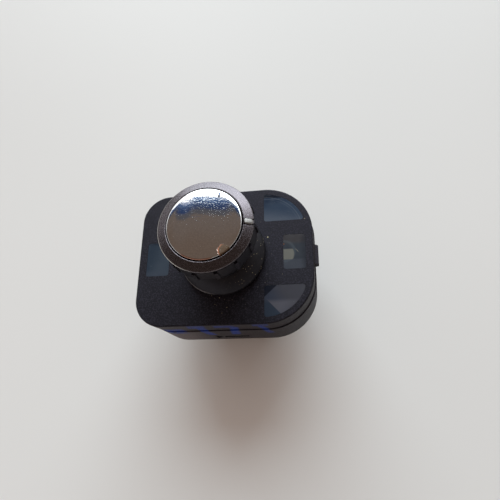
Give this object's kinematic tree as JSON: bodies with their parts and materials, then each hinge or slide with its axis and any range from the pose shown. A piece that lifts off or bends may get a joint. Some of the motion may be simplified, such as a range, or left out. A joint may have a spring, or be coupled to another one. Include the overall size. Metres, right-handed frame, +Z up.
{
  "type": "mirror adjustment switch",
  "caption": "Car door switch for the outside mirrors: a rounded case with lit windows, snap clips and plug socket, and a knob that turns to select and tilts to aim.",
  "frame": {"origin": "Middle of the plug socket's rim, the lowest face, under the knob's axis", "axes": "+X along the case, the way the knob's pointer looks; +Y to the back corner window; +Z up along the knob's axis"},
  "size_m": [0.0442, 0.034, 0.0497],
  "materials": {
    "case_plastic": "fine spark-eroded black plastic, dusty",
    "clear_lens": "smoked blue-grey clear plastic over dark inside",
    "board": "green solder mask",
    "mat_rubber": "translucent grey silicone",
    "frame_plastic": "black moulded plastic",
    "screw_steel": "zinc plated",
    "spring_steel": "bright drawn steel",
    "lamp": "white body with a yellow lens",
    "resistor": "black chip",
    "pin_brass": "tinned brass blades",
    "bearing_plastic": "natural acetal",
    "skirt_plastic": "satin black plastic with dust",
    "grip_plastic": "satin black moulded ribs",
    "bezel_paint": "dark metallic soft-feel paint, speckled",
    "chrome_disc": "bright chrome with fine scratches and a worn chip at its edge",
    "pointer_silver": "satin silver",
    "rotor_plastic": "brown-red moulded plastic",
    "contact_bronze": "bright spring bronze"
  },
  "bodies": {
    "root": {"top_cover": "case_plastic", "housing_shell": "case_plastic", "connector_base": "case_plastic", "light_guide": "clear_lens", "circuit_board": "board", "switch_mat": "mat_rubber", "pivot_frame": "frame_plastic", "frame_screw_front": "screw_steel", "frame_screw_back": "screw_steel", "detent_ball": "spring_steel", "detent_spring": "spring_steel", "led_left": "lamp", "led_right": "lamp", "led_back_corner": "lamp", "led_front_corner": "lamp", "resistor_1": "resistor", "resistor_2": "resistor", "resistor_3": "resistor", "contact_pin_01": "pin_brass", "contact_pin_02": "pin_brass", "contact_pin_03": "pin_brass", "contact_pin_04": "pin_brass", "contact_pin_05": "pin_brass", "contact_pin_06": "pin_brass", "contact_pin_07": "pin_brass", "contact_pin_08": "pin_brass", "contact_pin_09": "pin_brass", "contact_pin_10": "pin_brass"},
    "gimbal": {"gimbal_ring": "bearing_plastic"},
    "carrier": {"stem_carrier": "frame_plastic", "stem_skirt": "skirt_plastic"},
    "knob": {"knob_grip": "grip_plastic", "knob_bezel": "bezel_paint", "knob_disc": "chrome_disc", "knob_pointer": "pointer_silver", "knob_shaft": "bearing_plastic", "shaft_clip": "spring_steel"},
    "selector": {"selector_rotor": "rotor_plastic", "wiper_contact": "contact_bronze"}
  },
  "joints": [
    {"name": "tilt_front_back", "type": "hinge", "parent": "root", "child": "gimbal", "pos_m": [0, 0, 0.0255], "axis": [1, 0, 0], "range_deg": [-3.5, 3.5], "stiffness_Nm_per_rad": 0.6},
    {"name": "tilt_left_right", "type": "hinge", "parent": "gimbal", "child": "carrier", "pos_m": [0, 0, 0.0255], "axis": [0, 1, 0], "range_deg": [-3.5, 3.5], "stiffness_Nm_per_rad": 0.6},
    {"name": "knob_turn", "type": "hinge", "parent": "carrier", "child": "knob", "pos_m": [0, 0, 0.0255], "axis": [0, 0, 1], "range_deg": [-39, 180]},
    {"name": "selector_turn", "type": "hinge", "parent": "root", "child": "selector", "pos_m": [0, 0, 0.0255], "axis": [0, 0, 1], "range_deg": [-39, 180]}
  ],
  "couplings": [
    {"joint": "selector_turn", "follows": "knob_turn", "ratio": 1}
  ]
}
